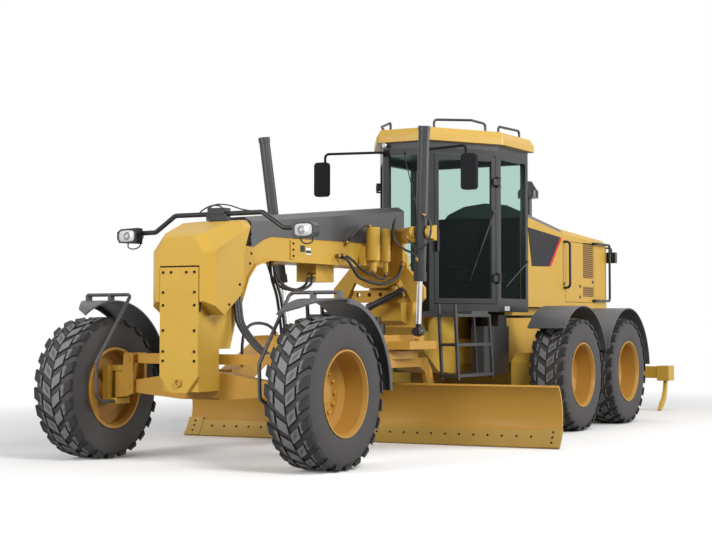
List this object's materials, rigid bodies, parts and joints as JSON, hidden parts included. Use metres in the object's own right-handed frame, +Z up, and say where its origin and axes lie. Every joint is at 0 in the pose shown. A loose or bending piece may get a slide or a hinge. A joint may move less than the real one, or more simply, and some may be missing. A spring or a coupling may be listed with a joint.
{
  "type": "motor grader",
  "caption": "Articulated motor grader with leaning, steered front wheels, tandem rear wheels, a drawbar, circle and blade, a glazed cab, a hooded engine and a rear ripper.",
  "frame": {"origin": "on the ground under the middle of the machine's box", "axes": "+X forward, +Y to the machine's left, +Z up"},
  "size_m": [10.63, 4.2691, 3.4756],
  "materials": {
    "yellow_paint": "satin",
    "black_paint": "satin",
    "dark_grey_paint": "satin",
    "tyre_rubber": "matte",
    "hard_chrome": "polished",
    "blade_steel": "worn",
    "cast_block": "matte",
    "window_glass": "tinted",
    "seat_fabric": "matte",
    "dark_mesh": "matte"
  },
  "bodies": {
    "rear_body": {"rear_frame": "yellow_paint", "rear_fenders": "black_paint", "hood": "yellow_paint", "hood_top": "black_paint", "hood_grilles": "dark_mesh", "side_panels": "black_paint", "hood_fittings": "black_paint", "engine": "cast_block", "tanks": "black_paint"},
    "front_body": {"front_frame": "yellow_paint", "front_axle": "yellow_paint", "nose_shroud": "yellow_paint", "beam_cover": "dark_grey_paint", "saddle": "yellow_paint", "hydraulics": "yellow_paint", "headlamps": "black_paint", "cab_frame": "black_paint", "cab_glass": "window_glass", "cab_roof": "yellow_paint", "cab_interior": "seat_fabric", "mirrors": "black_paint", "ladders": "dark_grey_paint"},
    "lean_left": {"lean_bracket_left": "yellow_paint"},
    "lean_right": {"lean_bracket_right": "yellow_paint"},
    "lean_bar": {"lean_bar": "yellow_paint"},
    "knuckle_left": {"knuckle_left": "yellow_paint", "fender_front_left": "black_paint"},
    "knuckle_right": {"knuckle_right": "yellow_paint", "fender_front_right": "black_paint"},
    "lift_barrel_left": {"lift_barrel_left": "black_paint"},
    "lift_barrel_right": {"lift_barrel_right": "black_paint"},
    "lift_rod_left": {"lift_rod_left": "hard_chrome"},
    "lift_rod_right": {"lift_rod_right": "hard_chrome"},
    "drawbar": {"drawbar": "yellow_paint", "circle_motor": "black_paint"},
    "circle": {"circle": "yellow_paint"},
    "blade_bracket": {"blade_bracket": "yellow_paint"},
    "moldboard": {"moldboard": "yellow_paint", "side_shift_rod": "hard_chrome", "cutting_edge": "blade_steel"},
    "door_left": {"door_left": "black_paint", "door_glass_left": "window_glass"},
    "door_right": {"door_right": "black_paint", "door_glass_right": "window_glass"},
    "ripper_arms": {"ripper_arms": "yellow_paint"},
    "ripper_links": {"ripper_links": "yellow_paint"},
    "ripper_beam": {"ripper_beam": "yellow_paint"},
    "wheel_middle_left": {"tyre_middle_left": "tyre_rubber", "rim_middle_left": "yellow_paint"},
    "wheel_rear_left": {"tyre_rear_left": "tyre_rubber", "rim_rear_left": "yellow_paint"},
    "wheel_front_left": {"tyre_front_left": "tyre_rubber", "rim_front_left": "yellow_paint"},
    "wheel_middle_right": {"tyre_middle_right": "tyre_rubber", "rim_middle_right": "yellow_paint"},
    "wheel_rear_right": {"tyre_rear_right": "tyre_rubber", "rim_rear_right": "yellow_paint"},
    "wheel_front_right": {"tyre_front_right": "tyre_rubber", "rim_front_right": "yellow_paint"}
  },
  "joints": [
    {"name": "articulation", "type": "hinge", "parent": "rear_body", "child": "front_body", "pos_m": [0.05, 0, 0.904], "axis": [0, 0, 1], "range_deg": [-20, 20]},
    {"name": "wheel_middle_left_spin", "type": "hinge", "parent": "rear_body", "child": "wheel_middle_left", "pos_m": [-0.66, 1.21, 0.64], "axis": [0, 1, 0], "continuous": true},
    {"name": "wheel_rear_left_spin", "type": "hinge", "parent": "rear_body", "child": "wheel_rear_left", "pos_m": [-2.18, 1.21, 0.64], "axis": [0, 1, 0], "continuous": true},
    {"name": "lean_left", "type": "hinge", "parent": "front_body", "child": "lean_left", "pos_m": [4.7, 0.782, 0.66], "axis": [1, 0, 0], "range_deg": [-18, 18]},
    {"name": "steer_left", "type": "hinge", "parent": "lean_left", "child": "knuckle_left", "pos_m": [4.7, 0.925, 0.64], "axis": [0, 0, 1], "range_deg": [-47.5, 47.5]},
    {"name": "wheel_front_left_spin", "type": "hinge", "parent": "knuckle_left", "child": "wheel_front_left", "pos_m": [4.7, 1.21, 0.64], "axis": [0, 1, 0], "continuous": true},
    {"name": "wheel_middle_right_spin", "type": "hinge", "parent": "rear_body", "child": "wheel_middle_right", "pos_m": [-0.66, -1.21, 0.64], "axis": [0, 1, 0], "continuous": true},
    {"name": "wheel_rear_right_spin", "type": "hinge", "parent": "rear_body", "child": "wheel_rear_right", "pos_m": [-2.18, -1.21, 0.64], "axis": [0, 1, 0], "continuous": true},
    {"name": "lean_right", "type": "hinge", "parent": "front_body", "child": "lean_right", "pos_m": [4.7, -0.782, 0.66], "axis": [1, 0, 0], "range_deg": [-18, 18]},
    {"name": "steer_right", "type": "hinge", "parent": "lean_right", "child": "knuckle_right", "pos_m": [4.7, -0.925, 0.64], "axis": [0, 0, 1], "range_deg": [-47.5, 47.5]},
    {"name": "wheel_front_right_spin", "type": "hinge", "parent": "knuckle_right", "child": "wheel_front_right", "pos_m": [4.7, -1.21, 0.64], "axis": [0, 1, 0], "continuous": true},
    {"name": "lean_bar", "type": "hinge", "parent": "lean_left", "child": "lean_bar", "pos_m": [4.7, 0.782, 0.909], "axis": [1, 0, 0], "range_deg": [-18, 18]},
    {"name": "drawbar_lift", "type": "hinge", "parent": "front_body", "child": "drawbar", "pos_m": [4.44, 0, 0.72], "axis": [0, 1, 0], "range_deg": [-15.5, 10.8]},
    {"name": "lift_barrel_left", "type": "hinge", "parent": "front_body", "child": "lift_barrel_left", "pos_m": [2.2687, 0.85222, 2.12], "axis": [0, 1, 0], "range_deg": [-2, 2.5]},
    {"name": "lift_rod_left", "type": "slide", "parent": "lift_barrel_left", "child": "lift_rod_left", "axis": [0.0966, 0.0837, 0.9918], "range_m": [-0.66, 0.46]},
    {"name": "lift_barrel_right", "type": "hinge", "parent": "front_body", "child": "lift_barrel_right", "pos_m": [2.2687, -0.85222, 2.12], "axis": [0, 1, 0], "range_deg": [-2, 2.5]},
    {"name": "lift_rod_right", "type": "slide", "parent": "lift_barrel_right", "child": "lift_rod_right", "axis": [0.0966, -0.0837, 0.9918], "range_m": [-0.66, 0.46]},
    {"name": "circle_turn", "type": "hinge", "parent": "drawbar", "child": "circle", "pos_m": [2.22, 0, 0.91], "axis": [0, 0, 1], "continuous": true},
    {"name": "blade_tip", "type": "hinge", "parent": "circle", "child": "blade_bracket", "pos_m": [1.62146, -0.04185, 0.3], "axis": [-0.0698, 0.9976, 0], "range_deg": [-5, 40]},
    {"name": "side_shift", "type": "slide", "parent": "blade_bracket", "child": "moldboard", "axis": [0.0698, -0.9976, 0], "range_m": [-0.5, 0.5]},
    {"name": "door_left", "type": "hinge", "parent": "front_body", "child": "door_left", "pos_m": [0.22223, 0.77167, 2.24], "axis": [0, 0, 1], "range_deg": [0, 95]},
    {"name": "door_right", "type": "hinge", "parent": "front_body", "child": "door_right", "pos_m": [0.22223, -0.77167, 2.24], "axis": [0, 0, -1], "range_deg": [0, 95]},
    {"name": "ripper_lift", "type": "hinge", "parent": "rear_body", "child": "ripper_arms", "pos_m": [-3.95, 0, 0.8], "axis": [0, 1, 0], "range_deg": [-15, 28]},
    {"name": "ripper_link", "type": "hinge", "parent": "rear_body", "child": "ripper_links", "pos_m": [-3.95, 0, 1.12], "axis": [0, 1, 0], "range_deg": [-15, 28]},
    {"name": "ripper_level", "type": "hinge", "parent": "ripper_arms", "child": "ripper_beam", "pos_m": [-4.98, 0, 0.56], "axis": [0, 1, 0], "range_deg": [-28, 15]}
  ],
  "couplings": [
    {"joint": "steer_right", "follows": "steer_left", "ratio": 1},
    {"joint": "lean_right", "follows": "lean_left", "ratio": 1},
    {"joint": "lean_bar", "follows": "lean_left", "ratio": -1},
    {"joint": "ripper_link", "follows": "ripper_lift", "ratio": 1},
    {"joint": "ripper_level", "follows": "ripper_lift", "ratio": -1},
    {"joint": "lift_barrel_left", "follows": "drawbar_lift", "ratio": -0.08},
    {"joint": "lift_rod_left", "follows": "drawbar_lift", "m_per_rad": 2.26},
    {"joint": "lift_barrel_right", "follows": "drawbar_lift", "ratio": -0.08},
    {"joint": "lift_rod_right", "follows": "drawbar_lift", "m_per_rad": 2.26}
  ]
}
